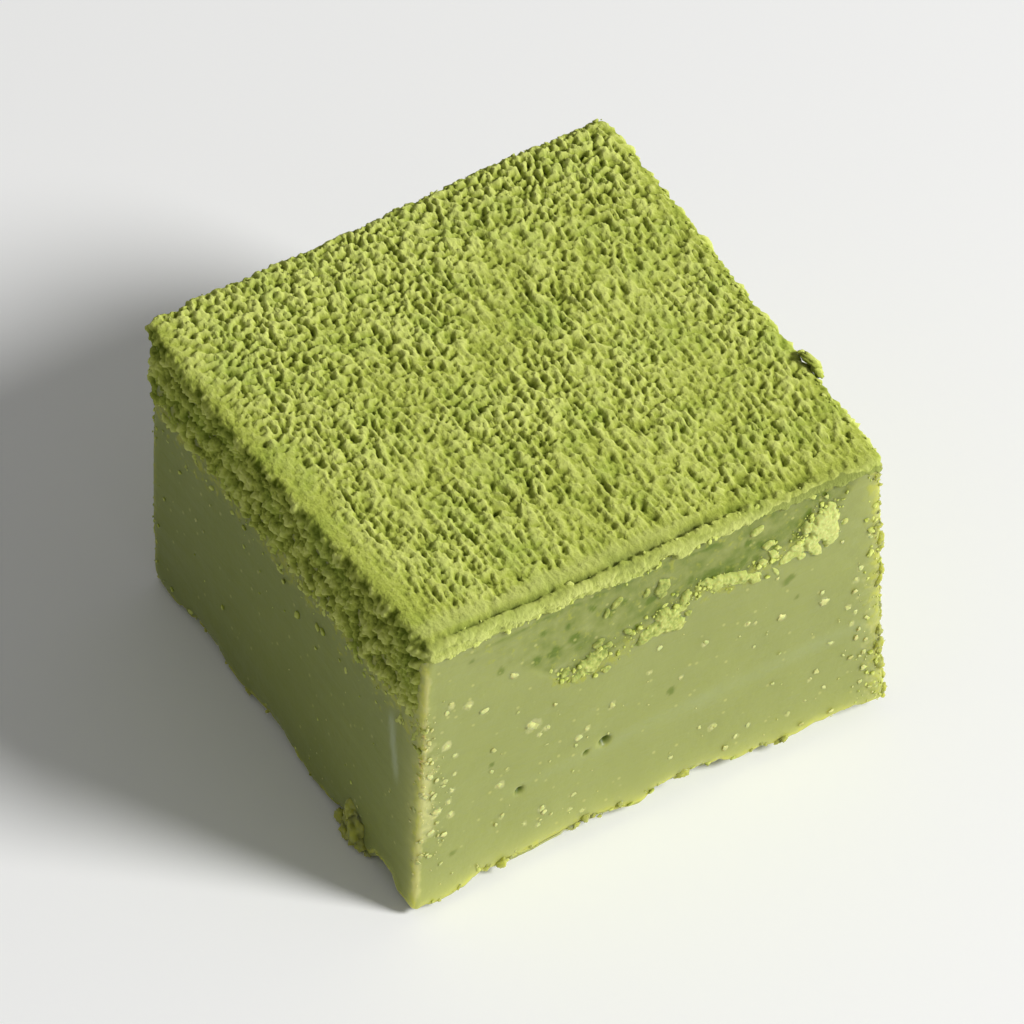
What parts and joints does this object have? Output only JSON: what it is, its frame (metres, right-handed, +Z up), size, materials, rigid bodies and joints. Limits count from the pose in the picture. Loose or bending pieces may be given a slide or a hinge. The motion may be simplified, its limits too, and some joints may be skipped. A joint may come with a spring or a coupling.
{
  "type": "nama chocolate",
  "caption": "Square of soft matcha ganache with cut sides, a torn foot and a thick matt dusting of powdered green tea on top.",
  "frame": {"origin": "under the middle of the block, on the surface it stands on", "axes": "+Z up through the dusted top; -Y out of the front cut face, +X along that face to its right"},
  "size_m": [0.0242, 0.024, 0.0162],
  "materials": {
    "matcha_ganache": "soft sage green ganache, cut with a warm blade, satin",
    "matcha_powder": "dry green tea powder, brushed and clumped, fully matt"
  },
  "bodies": {
    "root": {"ganache_block": "matcha_ganache"}
  },
  "joints": []
}
